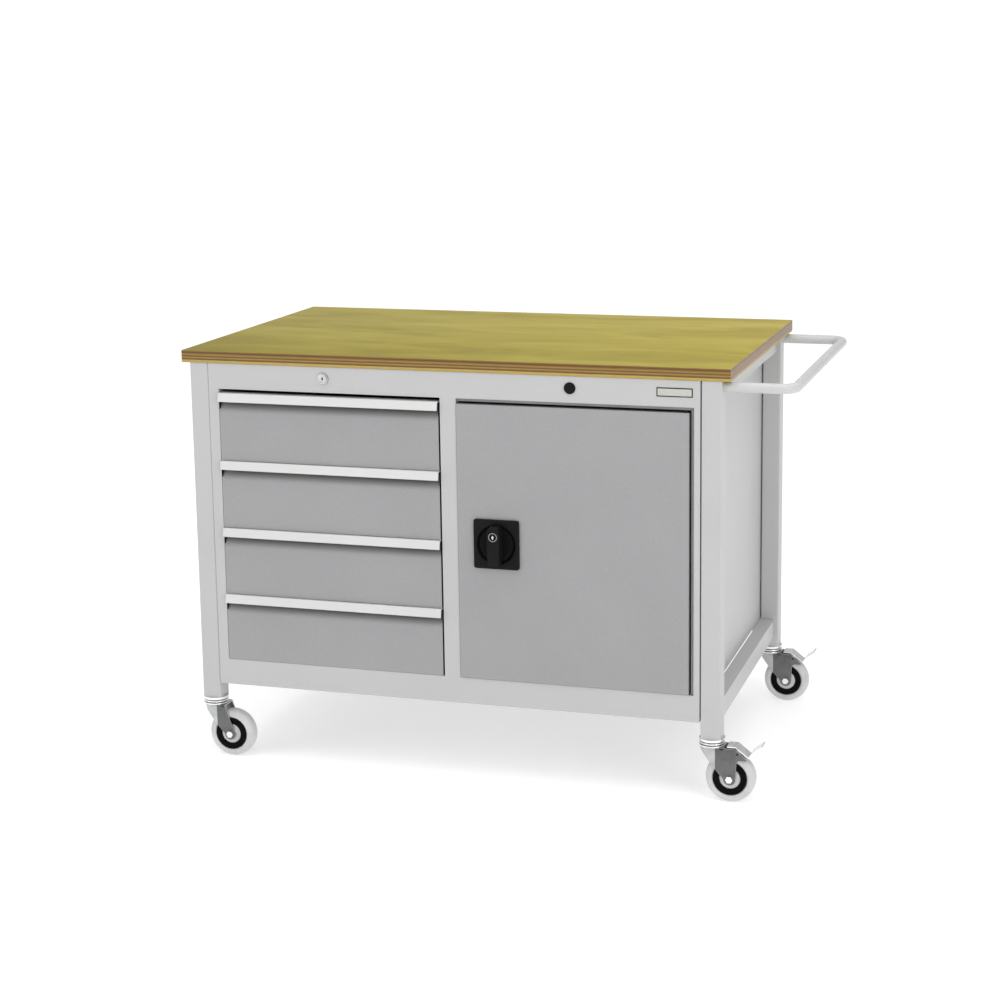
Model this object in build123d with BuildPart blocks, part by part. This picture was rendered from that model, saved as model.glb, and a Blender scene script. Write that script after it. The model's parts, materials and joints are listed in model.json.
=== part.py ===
"""Mobile workbench: plywood top on two welded leg frames, with a sheet-steel casing between them.

The casing holds four drawers and one hinged door. Four swivel casters carry the bench, the two on
the right have a brake, and a bent tube on the right side is the push handle.

Millimetres. +X is the user's right, -Y is the front, +Z is up. The origin is on the floor, under the
middle of the whole bench, push handle and door knob included.
"""

import os

from build123d import *

# ---------------------------------------------------------------- driving dimensions
# worktop
top_length = 1140.0
top_depth = 700.0
top_thickness = 25.0
top_edge_chamfer = 1.0
bench_height = 865.0

# leg frames
side_overhang = 17.0
front_setback = 2.0
back_overhang = 8.0
post_size = 40.0
post_wall = 2.0
post_corner_radius = 3.0
rail_width = 30.0
rail_height = 40.0
bottom_rail_top = 190.0

# casing
sheet = 1.5
casing_gap_left = 0.5
casing_gap_right = 2.0
casing_bottom = 161.0
frame_depth = 20.0
drawer_opening_width = 476.9
left_stile = 21.4
centre_stile = 33.2
right_stile = 12.0
opening_bottom = 214.9
fascia_height = 52.5
lip_width = 4.5
lip_depth = 5.0

# drawers
drawer_count = 4
drawer_front_gap = 1.0
drawer_top_gap = 8.1
drawer_bottom_gap = 0.6
drawer_left_gap = 1.0
drawer_right_gap = 3.6
drawer_front_thickness = 18.0
tray_wall = 1.2
tray_back_gap = 70.0
tray_top_gap = 20.0
tray_lift = 10.0
runner_width = 11.0
runner_height = 16.0
runner_front_gap = 1.5
runner_back_gap = 108.0
runner_clearance = 0.6
channel_wall = 1.5
runner_inset = 1.0
bracket_length = 40.0
bracket_height = 24.0
bracket_setback = 30.0
grip_height = 17.5
grip_top_reach = 6.0
grip_bottom_reach = 9.5
grip_wall = 1.8
recess_depth = 9.0
recess_drop = 34.0

# door
door_thickness = 18.0
door_proud = 2.0
door_left_gap = 1.0
door_bottom_gap = 1.0
door_top_gap = 11.0
door_right_gap = 9.6
pivot_inset = 8.0
pivot_radius = 3.0
pivot_grip = 14.0
pivot_head_radius = 4.2
pivot_head_height = 3.0
shaft_clearance = 0.05
stiffener_wall = 1.2

# door lock
lock_plate_width = 94.0
lock_plate_height = 100.0
lock_plate_thickness = 6.0
lock_plate_radius = 5.0
lock_plate_chamfer = 1.0
lock_from_door_edge = 81.0
lock_height = 497.0
dish_radius = 39.0
dish_depth = 4.0
knob_radius = 38.0
knob_base = 5.0
knob_gap = 0.5
grip_bar_width = 24.0
grip_bar_length = 72.0
grip_bar_edge_radius = 2.0
knob_reach = 28.0
knob_shaft_radius = 8.0
key_radius = 9.5
key_lift = 20.0
key_depth = 15.0
key_slot_width = 2.0
key_slot_length = 9.0
key_slot_depth = 3.0
cam_thickness = 2.5
cam_width = 22.0
cam_length = 98.0
cam_gap = 2.0

# drawer lock, spare lock hole and nameplate, all on the fascia
fascia_fitting_drop = 23.5
drawer_lock_inset = 229.9
spare_hole_inset = 234.1
lock_bezel_radius = 12.0
lock_bezel_thickness = 3.0
lock_barrel_radius = 9.5
lock_barrel_length = 20.0
lock_core_radius = 6.5
lock_cam_length = 24.0
lock_cam_width = 13.0
plug_radius = 11.5
plug_thickness = 2.5
plug_edge_radius = 0.8
plug_barrel_length = 5.0
hole_clearance = 0.1
nameplate_width = 71.0
nameplate_height = 18.0
nameplate_thickness = 1.0
nameplate_from_right = 109.0
nameplate_drop = 24.0

# shelf
shelf_height = 500.0
shelf_setback = 60.0
shelf_lip = 25.0
shelf_side_gap = 1.0
peg_radius = 4.0
peg_length = 14.0
peg_inset = 70.0

# push handle
handle_reach = 128.0
handle_tube_radius = 10.0
handle_tube_wall = 2.0
handle_bend_radius = 30.0
handle_drop = 13.0

# casing bolts
bolt_radius = 4.0
bolt_head_flats = 13.0
bolt_head_height = 5.5
bolt_edge_distance = 60.0
bolt_front_distance = 30.0
bolt_tip = 6.0

# casters
wheel_radius = 50.0
wheel_width = 32.0
wheel_front_reach = 12.0
caster_head_height = 28.0
wheel_edge_radius = 9.0
axle_radius = 4.0
axle_nut_flats = 13.0
axle_nut_height = 5.0
cover_outer_radius = 34.0
cover_inner_radius = 21.5
cover_thickness = 0.6
fork_wall = 3.0
fork_half_width = 20.0
fork_nose_radius = 24.0
fork_knee_drop = 6.0
fork_crown_reach = 11.5
fork_tail_reach = 34.5
fork_tail_drop = 20.0
fork_eye = 13.0
head_ring_radius = 26.0
head_ring_height = 9.0
race_gap = 2.0
flange_thickness = 5.0
kingpin_radius = 6.0
kingpin_nut_radius = 9.0
kingpin_nut_height = 5.0
plug_clearance = 0.2
plug_depth = 30.0
brake_wall = 2.5
brake_width = 32.0
brake_pin_radius = 2.5
brake_pin_setback = 16.0
brake_pin_drop = 9.5
brake_eye = 3.5
brake_ring_gap = 7.0
pedal_rise_run = 8.5
pedal_reach = 26.0
pedal_lift = 5.0

# ---------------------------------------------------------------- derived places
wheel_trail = wheel_radius - wheel_front_reach
caster_height = 2 * wheel_radius + caster_head_height
head_ring_top = caster_height - flange_thickness - race_gap
fork_crown_top = head_ring_top - head_ring_height
fork_inner_half = fork_half_width - fork_wall
brake_pin_x = wheel_trail + brake_pin_setback
brake_pin_z = fork_crown_top - brake_pin_drop

bench_left = -(top_length + handle_reach) / 2
bench_front = knob_reach - (top_depth + knob_reach) / 2
bench_right = bench_left + top_length
top_underside = bench_height - top_thickness

post_left = bench_left + side_overhang
post_right = bench_right - side_overhang
frame_front = bench_front + front_setback
frame_back = bench_front + top_depth - back_overhang
front_post_y = frame_front + post_size / 2
back_post_y = frame_back - post_size / 2
left_post_x = post_left + post_size / 2
right_post_x = post_right - post_size / 2

casing_left = post_left + post_size + casing_gap_left
casing_right = post_right - post_size - casing_gap_right
inner_front = frame_front + frame_depth
opening_top = top_underside - fascia_height
drawer_opening_left = casing_left + left_stile
drawer_opening_right = drawer_opening_left + drawer_opening_width
door_opening_left = drawer_opening_right + centre_stile
door_opening_right = casing_right - right_stile
divider_x = (drawer_opening_right + door_opening_left) / 2
drawer_lock_x = drawer_opening_left + drawer_lock_inset
spare_hole_x = door_opening_left + spare_hole_inset
nameplate_x = bench_right - nameplate_from_right
floor_top = opening_bottom - sheet
through_cut = 4 * sheet
fitting_z = top_underside - fascia_fitting_drop

drawer_zone = opening_top - drawer_top_gap - opening_bottom - drawer_bottom_gap + drawer_front_gap
drawer_pitch = drawer_zone / drawer_count
drawer_left = drawer_opening_left + drawer_left_gap
drawer_right = drawer_opening_right - drawer_right_gap
drawer_back = frame_front + drawer_front_thickness
drawer_height = drawer_pitch - drawer_front_gap
tray_height = drawer_height - tray_lift - tray_top_gap
tray_length = frame_back - sheet - drawer_back - tray_back_gap
runner_start = max(inner_front, drawer_back) + runner_front_gap
runner_end = frame_back - sheet - runner_back_gap
runner_room_left = casing_left + sheet
runner_room_right = divider_x - sheet / 2
channel_left = drawer_opening_left + runner_inset
channel_right = drawer_opening_right - runner_inset
tray_left = channel_left + channel_wall + runner_clearance + runner_width
tray_right = channel_right - channel_wall - runner_clearance - runner_width

door_front = frame_front - door_proud
door_back = door_front + door_thickness
door_left = door_opening_left + door_left_gap
door_right = door_opening_right - door_right_gap
door_bottom = opening_bottom + door_bottom_gap
door_top = opening_top - door_top_gap
pivot_x = door_right - pivot_inset
pivot_y = door_front + pivot_inset
lock_x = door_left + lock_from_door_edge
cam_front = max(inner_front, door_back) + cam_gap
cam_back = cam_front + cam_thickness

handle_z = top_underside - handle_drop
handle_bar_x = bench_right + handle_reach - handle_tube_radius

AXIS_TURN = {"X": (0, 90, 0), "Y": (90, 0, 0), "Z": (0, 0, 0)}


# ---------------------------------------------------------------- helpers
def block(x_span, y_span, z_span, mode=Mode.ADD):
    """A rectangular block between two limits on each axis."""
    spans = (x_span, y_span, z_span)
    middle = [(low + high) / 2 for low, high in spans]
    size = [high - low for low, high in spans]
    with Locations(tuple(middle)):
        Box(*size, mode=mode)


def rod(centre, axis, length, radius, mode=Mode.ADD):
    """A round bar along one axis, centred on a point."""
    with Locations(Location(centre, AXIS_TURN[axis])):
        Cylinder(radius, length, mode=mode)


def hexagon(plane, flats, height, mode=Mode.ADD):
    """A hexagonal head that rises from a plane."""
    with BuildSketch(plane) as outline:
        RegularPolygon(flats / 2, 6, major_radius=False)
    extrude(outline.sketch, amount=height, mode=mode)


def save(builder, name):
    """Label a finished piece and write its file."""
    builder.part.label = name
    export_step(builder.part, f"parts/{name}.step")


# ---------------------------------------------------------------- worktop and leg frames
def make_worktop():
    with BuildPart() as worktop:
        block(
            (bench_left, bench_right),
            (bench_front, bench_front + top_depth),
            (top_underside, bench_height),
        )
        chamfer(worktop.edges().group_by(Axis.Z)[-1], top_edge_chamfer)
    save(worktop, "worktop")


def bolt_places():
    """Y and Z of the bolts that hold the casing to the posts."""
    heights = (casing_bottom + bolt_edge_distance, top_underside - rail_height - bolt_edge_distance)
    depths = (frame_front + bolt_front_distance, frame_back - bolt_front_distance)
    return [(y, z) for y in depths for z in heights]


def make_leg_frame(name, side):
    """Two square posts joined by a top and a bottom rail. side is -1 for left, +1 for right."""
    post_x = left_post_x if side < 0 else right_post_x
    inner_face = post_x - side * post_size / 2
    rail_middle = inner_face + side * rail_width / 2
    rail_limits = (rail_middle - rail_width / 2, rail_middle + rail_width / 2)
    rail_run = (frame_front + post_size, frame_back - post_size)
    rail_tops = (top_underside, bottom_rail_top)
    with BuildPart() as leg_frame:
        with BuildSketch(Plane.XY.offset(caster_height)):
            with Locations((post_x, front_post_y), (post_x, back_post_y)):
                RectangleRounded(post_size, post_size, post_corner_radius)
        extrude(amount=top_underside - caster_height)
        for rail_top in rail_tops:
            block(rail_limits, rail_run, (rail_top - rail_height, rail_top))
        with BuildSketch(Plane.XY.offset(caster_height)):
            with Locations((post_x, front_post_y), (post_x, back_post_y)):
                bore = post_size - 2 * post_wall
                RectangleRounded(bore, bore, post_corner_radius - post_wall)
        extrude(amount=top_underside - caster_height, mode=Mode.SUBTRACT)
        for rail_top in rail_tops:
            block(
                (rail_limits[0] + post_wall, rail_limits[1] - post_wall),
                rail_run,
                (rail_top - rail_height + post_wall, rail_top - post_wall),
                mode=Mode.SUBTRACT,
            )
        for y, z in bolt_places():
            rod((inner_face, y, z), "X", 3 * post_wall, bolt_radius + hole_clearance, Mode.SUBTRACT)
    save(leg_frame, name)


def make_push_handle():
    with BuildPart() as push_handle:
        with BuildLine(Plane.XY.offset(handle_z)) as path:
            FilletPolyline(
                (post_right, front_post_y),
                (handle_bar_x, front_post_y),
                (handle_bar_x, back_post_y),
                (post_right, back_post_y),
                radius=handle_bend_radius,
            )
        with BuildSketch(Plane((post_right, front_post_y, handle_z), x_dir=(0, 1, 0), z_dir=(1, 0, 0))):
            Circle(handle_tube_radius)
            Circle(handle_tube_radius - handle_tube_wall, mode=Mode.SUBTRACT)
        sweep(path=path.wire())
    save(push_handle, "push_handle")


# ---------------------------------------------------------------- casing
def make_face_frame():
    """Folded front of the casing, with one opening for the drawers and one for the door."""
    depth = (frame_front, inner_front)
    hollow = (frame_front + sheet, inner_front)
    openings = ((drawer_opening_left, drawer_opening_right), (door_opening_left, door_opening_right))
    stiles = (
        (casing_left, drawer_opening_left),
        (drawer_opening_right, door_opening_left),
        (door_opening_right, casing_right),
    )
    with BuildPart() as face_frame:
        block((casing_left, casing_right), depth, (casing_bottom, top_underside))
        for opening in openings:
            block(opening, depth, (opening_bottom, opening_top), Mode.SUBTRACT)
        for low, high in stiles:
            inside = (low + sheet, high - sheet)
            block(inside, hollow, (casing_bottom + sheet, top_underside - sheet), Mode.SUBTRACT)
        for low, high in ((casing_bottom, opening_bottom), (opening_top, top_underside)):
            inside = (casing_left + sheet, casing_right - sheet)
            block(inside, hollow, (low + sheet, high - sheet), Mode.SUBTRACT)
        lip = (frame_front + lip_depth, frame_front + lip_depth + sheet)
        block((door_opening_left, door_opening_right), lip, (opening_top - lip_width, opening_top))
        block((door_opening_right - lip_width, door_opening_right), lip, (opening_bottom, opening_top))
        for x in (drawer_lock_x, spare_hole_x):
            lock_hole = lock_barrel_radius + hole_clearance
            rod((x, frame_front, fitting_z), "Y", through_cut, lock_hole, Mode.SUBTRACT)
        for level in (opening_bottom, opening_top):
            rod((pivot_x, pivot_y, level), "Z", through_cut + 2 * lip_width, pivot_radius, Mode.SUBTRACT)
    save(face_frame, "face_frame")


def make_casing_side(name, side):
    """One side sheet, from the face frame to the back sheet. side is -1 for left, +1 for right."""
    outer = casing_left if side < 0 else casing_right
    limits = sorted((outer, outer - side * sheet))
    with BuildPart() as casing_side:
        block(limits, (inner_front, frame_back - sheet), (bottom_rail_top, top_underside - sheet))
        for y, z in bolt_places():
            rod((outer, y, z), "X", through_cut, bolt_radius + hole_clearance, Mode.SUBTRACT)
    save(casing_side, name)


def make_casing_back():
    with BuildPart() as casing_back:
        block(
            (casing_left, casing_right),
            (frame_back - sheet, frame_back),
            (bottom_rail_top - rail_height, top_underside - sheet),
        )
    save(casing_back, "casing_back")


def make_casing_floor():
    """Floor sheet with four sides folded down to the top of the bottom rails."""
    x_span = (casing_left + sheet, casing_right - sheet)
    y_span = (inner_front, frame_back - sheet)
    with BuildPart() as casing_floor:
        block(x_span, y_span, (bottom_rail_top, floor_top))
        block(
            (x_span[0] + sheet, x_span[1] - sheet),
            (y_span[0] + sheet, y_span[1] - sheet),
            (bottom_rail_top, floor_top - sheet),
            Mode.SUBTRACT,
        )
    save(casing_floor, "casing_floor")


def make_casing_divider():
    with BuildPart() as casing_divider:
        block(
            (divider_x - sheet / 2, divider_x + sheet / 2),
            (inner_front, frame_back - sheet),
            (floor_top, top_underside - sheet),
        )
    save(casing_divider, "casing_divider")


def make_casing_roof():
    """Top sheet, folded down along the back of the face frame."""
    with BuildPart() as casing_roof:
        block(
            (casing_left, casing_right),
            (inner_front, frame_back),
            (top_underside - sheet, top_underside),
        )
    save(casing_roof, "casing_roof")


def make_casing_bolts():
    """Hexagon bolts from inside the casing into the posts."""
    with BuildPart() as casing_bolts:
        for side, face, gap in ((-1, casing_left, casing_gap_left), (1, casing_right, casing_gap_right)):
            inside = face - side * sheet
            reach = sheet + gap + post_wall + bolt_tip
            for y, z in bolt_places():
                rod((inside + side * reach / 2, y, z), "X", reach, bolt_radius)
                head = Plane((inside, y, z), x_dir=(0, 1, 0), z_dir=(-side, 0, 0))
                hexagon(head, bolt_head_flats, bolt_head_height)
    save(casing_bolts, "casing_bolts")


def make_shelf():
    x_span = (divider_x + sheet / 2 + shelf_side_gap, casing_right - sheet - shelf_side_gap)
    y_span = (inner_front + shelf_setback, frame_back - sheet - shelf_side_gap)
    with BuildPart() as shelf:
        block(x_span, y_span, (shelf_height - shelf_lip, shelf_height))
        block(
            (x_span[0], x_span[1]),
            (y_span[0] + sheet, y_span[1] - sheet),
            (shelf_height - shelf_lip, shelf_height - sheet),
            Mode.SUBTRACT,
        )
    save(shelf, "shelf")


def make_shelf_pegs():
    z = shelf_height - sheet - peg_radius
    ys = (inner_front + shelf_setback + peg_inset, frame_back - peg_inset)
    with BuildPart() as shelf_pegs:
        for wall, side in ((divider_x + sheet / 2, 1), (casing_right - sheet, -1)):
            for y in ys:
                rod((wall + side * peg_length / 2, y, z), "X", peg_length, peg_radius)
    save(shelf_pegs, "shelf_pegs")


# ---------------------------------------------------------------- fascia fittings
def make_drawer_lock():
    x = drawer_lock_x
    z = fitting_z
    barrel_end = frame_front + lock_barrel_length
    face = frame_front - lock_bezel_thickness
    with BuildPart() as bezel:
        rod((x, (face + frame_front) / 2, z), "Y", lock_bezel_thickness, lock_bezel_radius)
        rod((x, (frame_front + barrel_end) / 2, z), "Y", lock_barrel_length, lock_barrel_radius)
        rod(
            (x, (face + barrel_end) / 2, z),
            "Y",
            barrel_end - face,
            lock_core_radius + shaft_clearance,
            Mode.SUBTRACT,
        )
    save(bezel, "drawer_lock_bezel")
    core_end = barrel_end + cam_gap
    with BuildPart() as core:
        rod((x, (face + core_end) / 2, z), "Y", core_end - face, lock_core_radius)
        block(
            (x - key_slot_width / 2, x + key_slot_width / 2),
            (face, face + key_slot_depth),
            (z - key_slot_length / 2, z + key_slot_length / 2),
            Mode.SUBTRACT,
        )
        block(
            (x - lock_cam_width / 2, x + lock_cam_length),
            (core_end, core_end + cam_thickness),
            (z - lock_cam_width / 2, z + lock_cam_width / 2),
        )
    save(core, "drawer_lock_core")


def make_blanking_plug():
    face_middle = (spare_hole_x, frame_front - plug_thickness / 2, fitting_z)
    barrel_middle = (spare_hole_x, frame_front + plug_barrel_length / 2, fitting_z)
    with BuildPart() as blanking_plug:
        rod(face_middle, "Y", plug_thickness, plug_radius)
        rod(barrel_middle, "Y", plug_barrel_length, lock_barrel_radius)
        fillet(blanking_plug.edges().group_by(Axis.Y)[0], plug_edge_radius)
    save(blanking_plug, "blanking_plug")


def make_nameplate():
    z = top_underside - nameplate_drop
    with BuildPart() as nameplate:
        block(
            (nameplate_x - nameplate_width / 2, nameplate_x + nameplate_width / 2),
            (frame_front - nameplate_thickness, frame_front),
            (z - nameplate_height / 2, z + nameplate_height / 2),
        )
    save(nameplate, "nameplate")


# ---------------------------------------------------------------- drawers
def drawer_top(number):
    """Height of the top edge of a drawer's grip strip. Drawer 1 is the highest."""
    return opening_top - drawer_top_gap - (number - 1) * drawer_pitch


def runner_middle(number):
    return drawer_top(number) - drawer_pitch / 2


def make_fixed_runners():
    """Steel channels on both sides of the drawer bay, held off the walls by brackets."""
    y_span = (runner_start, runner_end)
    half = runner_height / 2 + runner_clearance
    reach = runner_clearance + runner_width - channel_wall
    bracket_starts = (runner_start + bracket_setback, runner_end - bracket_setback - bracket_length)
    with BuildPart() as fixed_runners:
        for number in range(1, drawer_count + 1):
            z = runner_middle(number)
            outer = (z - half - channel_wall, z + half + channel_wall)
            for wall, face, side in (
                (runner_room_left, channel_left, 1),
                (runner_room_right, channel_right, -1),
            ):
                web = face + side * channel_wall
                block(sorted((face, web + side * reach)), y_span, outer)
                block(sorted((web, web + side * reach)), y_span, (z - half, z + half), Mode.SUBTRACT)
                for y in bracket_starts:
                    run = (y, y + bracket_length)
                    block(sorted((wall, face)), run, (z - channel_wall / 2, z + channel_wall / 2))
                    foot = (z - bracket_height / 2, z + bracket_height / 2)
                    block(sorted((wall, wall + side * channel_wall)), run, foot)
    save(fixed_runners, "fixed_runners")


def make_drawer(number):
    """One drawer: folded front, grip strip with a finger recess behind it, tray and its runners."""
    top = drawer_top(number)
    bottom = top - drawer_height
    face_top = top - recess_drop
    recess_back = frame_front + recess_depth
    with BuildPart() as front:
        block((drawer_left, drawer_right), (frame_front, drawer_back), (bottom, face_top))
        block(
            (drawer_left + sheet, drawer_right - sheet),
            (frame_front + sheet, drawer_back),
            (bottom + sheet, face_top - sheet),
            Mode.SUBTRACT,
        )
    save(front, f"drawer_{number}_front")

    with BuildPart() as grip:
        with BuildSketch(Plane.YZ.offset(drawer_left)):
            with BuildLine():
                Polyline(
                    (drawer_back, top),
                    (frame_front - grip_top_reach, top),
                    (frame_front - grip_bottom_reach, top - grip_height),
                    (frame_front - grip_bottom_reach + grip_wall, top - grip_height),
                    (frame_front - grip_top_reach + grip_wall, top - grip_wall),
                    (recess_back, top - grip_wall),
                    (recess_back, face_top),
                    (recess_back + grip_wall, face_top),
                    (recess_back + grip_wall, top - grip_wall),
                    (drawer_back, top - grip_wall),
                    close=True,
                )
            make_face()
        extrude(amount=drawer_right - drawer_left)
    save(grip, f"drawer_{number}_grip")

    tray_bottom = bottom + tray_lift
    tray_y = (drawer_back, drawer_back + tray_length)
    with BuildPart() as tray:
        block((tray_left, tray_right), tray_y, (tray_bottom, tray_bottom + tray_height))
        block(
            (tray_left + tray_wall, tray_right - tray_wall),
            (tray_y[0] + tray_wall, tray_y[1] - tray_wall),
            (tray_bottom + tray_wall, tray_bottom + tray_height),
            Mode.SUBTRACT,
        )
    save(tray, f"drawer_{number}_tray")

    z = runner_middle(number)
    run = (runner_start, runner_end)
    half = runner_height / 2
    with BuildPart() as runners:
        for wall, side in ((tray_left, -1), (tray_right, 1)):
            block(sorted((wall, wall + side * runner_width)), run, (z - half, z + half))
            hollow = sorted((wall + side * channel_wall, wall + side * runner_width))
            block(hollow, run, (z - half + channel_wall, z + half - channel_wall), Mode.SUBTRACT)
    save(runners, f"drawer_{number}_runners")


# ---------------------------------------------------------------- door
def make_door_panel():
    """Folded door pan, stiffened by a back sheet, with holes for the pivots and the lock shaft."""
    with BuildPart() as door_panel:
        block((door_left, door_right), (door_front, door_back), (door_bottom, door_top))
        block(
            (door_left + sheet, door_right - sheet),
            (door_front + sheet, door_back - stiffener_wall),
            (door_bottom + sheet, door_top - sheet),
            Mode.SUBTRACT,
        )
        for level in (door_bottom, door_top):
            rod((pivot_x, pivot_y, level), "Z", through_cut, pivot_radius + shaft_clearance, Mode.SUBTRACT)
        middle = (lock_x, (door_front + door_back) / 2, lock_height)
        rod(middle, "Y", 2 * door_thickness, knob_shaft_radius + shaft_clearance, Mode.SUBTRACT)
    save(door_panel, "door_panel")


def make_door_pivots():
    """Upper and lower pivot pins, fixed in the face frame and reaching into the door."""
    with BuildPart() as door_pivots:
        for level, edge, side in ((opening_top, door_top, 1), (opening_bottom, door_bottom, -1)):
            low, high = sorted((edge - side * pivot_grip, level + side * sheet))
            rod((pivot_x, pivot_y, (low + high) / 2), "Z", high - low, pivot_radius)
            head = level + side * (sheet + pivot_head_height / 2)
            rod((pivot_x, pivot_y, head), "Z", pivot_head_height, pivot_head_radius)
    save(door_pivots, "door_pivots")


def make_door_lock():
    plate_front = door_front - lock_plate_thickness
    centre = Plane((lock_x, door_front, lock_height), x_dir=(1, 0, 0), z_dir=(0, -1, 0))
    with BuildPart() as lock_plate:
        with BuildSketch(centre):
            RectangleRounded(lock_plate_width, lock_plate_height, lock_plate_radius)
        extrude(amount=lock_plate_thickness)
        chamfer(lock_plate.edges().group_by(Axis.Y)[0], lock_plate_chamfer)
        dish_middle = (lock_x, plate_front + dish_depth / 2, lock_height)
        rod(dish_middle, "Y", dish_depth, dish_radius, Mode.SUBTRACT)
        rod(
            (lock_x, door_front, lock_height),
            "Y",
            2 * lock_plate_thickness,
            knob_shaft_radius + shaft_clearance,
            Mode.SUBTRACT,
        )
    save(lock_plate, "door_lock_plate")

    knob_back = plate_front + dish_depth - knob_gap
    knob_face = knob_back - knob_base
    grip_face = bench_front - knob_reach
    key_z = lock_height + key_lift
    with BuildPart() as knob:
        rod((lock_x, (knob_face + knob_back) / 2, lock_height), "Y", knob_base, knob_radius)
        with BuildSketch(Plane((lock_x, knob_face, lock_height), x_dir=(1, 0, 0), z_dir=(0, -1, 0))):
            SlotCenterToCenter(grip_bar_length - grip_bar_width, grip_bar_width, rotation=90)
        extrude(amount=knob_face - grip_face)
        fillet(knob.edges().group_by(Axis.Y)[0], grip_bar_edge_radius)
        shaft_middle = (lock_x, (knob_back + cam_front) / 2, lock_height)
        rod(shaft_middle, "Y", cam_front - knob_back, knob_shaft_radius)
        rod(
            (lock_x, grip_face + key_depth / 2, key_z),
            "Y",
            key_depth,
            key_radius + shaft_clearance,
            Mode.SUBTRACT,
        )
    save(knob, "door_knob")

    with BuildPart() as key_core:
        rod((lock_x, grip_face + key_depth / 2, key_z), "Y", key_depth, key_radius)
        block(
            (lock_x - key_slot_width / 2, lock_x + key_slot_width / 2),
            (grip_face, grip_face + key_slot_depth),
            (key_z - key_slot_length / 2, key_z + key_slot_length / 2),
            Mode.SUBTRACT,
        )
    save(key_core, "door_key_core")

    with BuildPart() as cam:
        block(
            (lock_x - cam_width / 2, lock_x + cam_width / 2),
            (cam_front, cam_back),
            (lock_height - cam_length + cam_width / 2, lock_height + cam_width / 2),
        )
    save(cam, "door_latch_cam")


# ---------------------------------------------------------------- casters
def caster_places():
    """Corner names with the middle of each post."""
    return {
        "front_left": (left_post_x, front_post_y),
        "front_right": (right_post_x, front_post_y),
        "rear_left": (left_post_x, back_post_y),
        "rear_right": (right_post_x, back_post_y),
    }


def make_caster_stems():
    """Fixed half of each swivel: a plug in the post, a flange and the kingpin with its nut."""
    bore = post_size - 2 * post_wall - 2 * plug_clearance
    flange_bottom = caster_height - flange_thickness
    crown_bottom = fork_crown_top - fork_wall
    nut_top = crown_bottom - plug_clearance
    with BuildPart() as caster_stems:
        for x, y in caster_places().values():
            with BuildSketch(Plane.XY.offset(caster_height)):
                with Locations((x, y)):
                    RectangleRounded(bore, bore, post_corner_radius - post_wall)
            extrude(amount=plug_depth)
            rod((x, y, caster_height - flange_thickness / 2), "Z", flange_thickness, head_ring_radius)
            rod((x, y, (nut_top + flange_bottom) / 2), "Z", flange_bottom - nut_top, kingpin_radius)
            rod((x, y, nut_top - kingpin_nut_height / 2), "Z", kingpin_nut_height, kingpin_nut_radius)
    save(caster_stems, "caster_stems")


def make_fork(name, x, y, braked):
    """Pressed fork: round nose under the swivel ring, two legs down to the axle."""
    axle_x = x + wheel_trail
    bridge_length = wheel_trail + fork_tail_reach
    bridge_middle = (x + bridge_length / 2, y)
    knee_z = fork_crown_top - fork_knee_drop
    with BuildPart() as fork:
        with BuildSketch(Plane.XZ.offset(-y)):
            with BuildLine():
                nose = Line((axle_x - fork_eye, wheel_radius), (x - fork_nose_radius, knee_z))
                front = Line(nose @ 1, (x - fork_nose_radius, fork_crown_top))
                crown = Line(front @ 1, (axle_x + fork_crown_reach, fork_crown_top))
                slope = Line(crown @ 1, (axle_x + fork_tail_reach, fork_crown_top - fork_tail_drop))
                tail_bottom = fork_crown_top - fork_tail_drop - fork_wall
                tail = Line(slope @ 1, (axle_x + fork_crown_reach, tail_bottom))
                Spline(
                    tail @ 1,
                    (axle_x + fork_eye / 2, wheel_radius + 2 * fork_eye),
                    (axle_x + fork_eye, wheel_radius),
                    tangents=((-1, -0.3), (0.1, -1)),
                )
                ThreePointArc(
                    (axle_x + fork_eye, wheel_radius),
                    (axle_x, wheel_radius - fork_eye),
                    nose @ 0,
                )
            make_face()
        extrude(amount=head_ring_radius, both=True)
        with BuildSketch(Plane.XY):
            with Locations((x, y)):
                Circle(fork_nose_radius)
            with Locations(bridge_middle):
                Rectangle(bridge_length, 2 * fork_half_width)
        extrude(amount=caster_height, mode=Mode.INTERSECT)
        with BuildSketch(Plane.XY):
            with Locations((x, y)):
                Circle(fork_nose_radius - fork_wall)
            with Locations(bridge_middle):
                Rectangle(bridge_length, 2 * fork_inner_half)
        extrude(amount=fork_crown_top - fork_wall, mode=Mode.SUBTRACT)
        block(
            (x + head_ring_radius, x + bridge_length),
            (y - fork_inner_half, y + fork_inner_half),
            (fork_crown_top - fork_wall, fork_crown_top),
            Mode.SUBTRACT,
        )
        rod((x, y, (fork_crown_top + head_ring_top) / 2), "Z", head_ring_height, head_ring_radius)
        rod((x, y, fork_crown_top), "Z", 2 * caster_height, kingpin_radius + shaft_clearance, Mode.SUBTRACT)
        bores = [(axle_x, wheel_radius, axle_radius)]
        if braked:
            bores.append((x + brake_pin_x, brake_pin_z, brake_pin_radius))
        for bore_x, bore_z, radius in bores:
            rod((bore_x, y, bore_z), "Y", 4 * fork_half_width, radius + shaft_clearance, Mode.SUBTRACT)
    save(fork, f"caster_{name}_fork")


def make_axle(name, x, y):
    """Axle bolt with a hexagon head on one side and a nut on the other."""
    axle_x = x + wheel_trail
    with BuildPart() as axle:
        rod((axle_x, y, wheel_radius), "Y", 2 * fork_half_width, axle_radius)
        for side in (-1, 1):
            face = (axle_x, y + side * fork_half_width, wheel_radius)
            hexagon(Plane(face, x_dir=(1, 0, 0), z_dir=(0, side, 0)), axle_nut_flats, axle_nut_height)
    save(axle, f"caster_{name}_axle")


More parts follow.
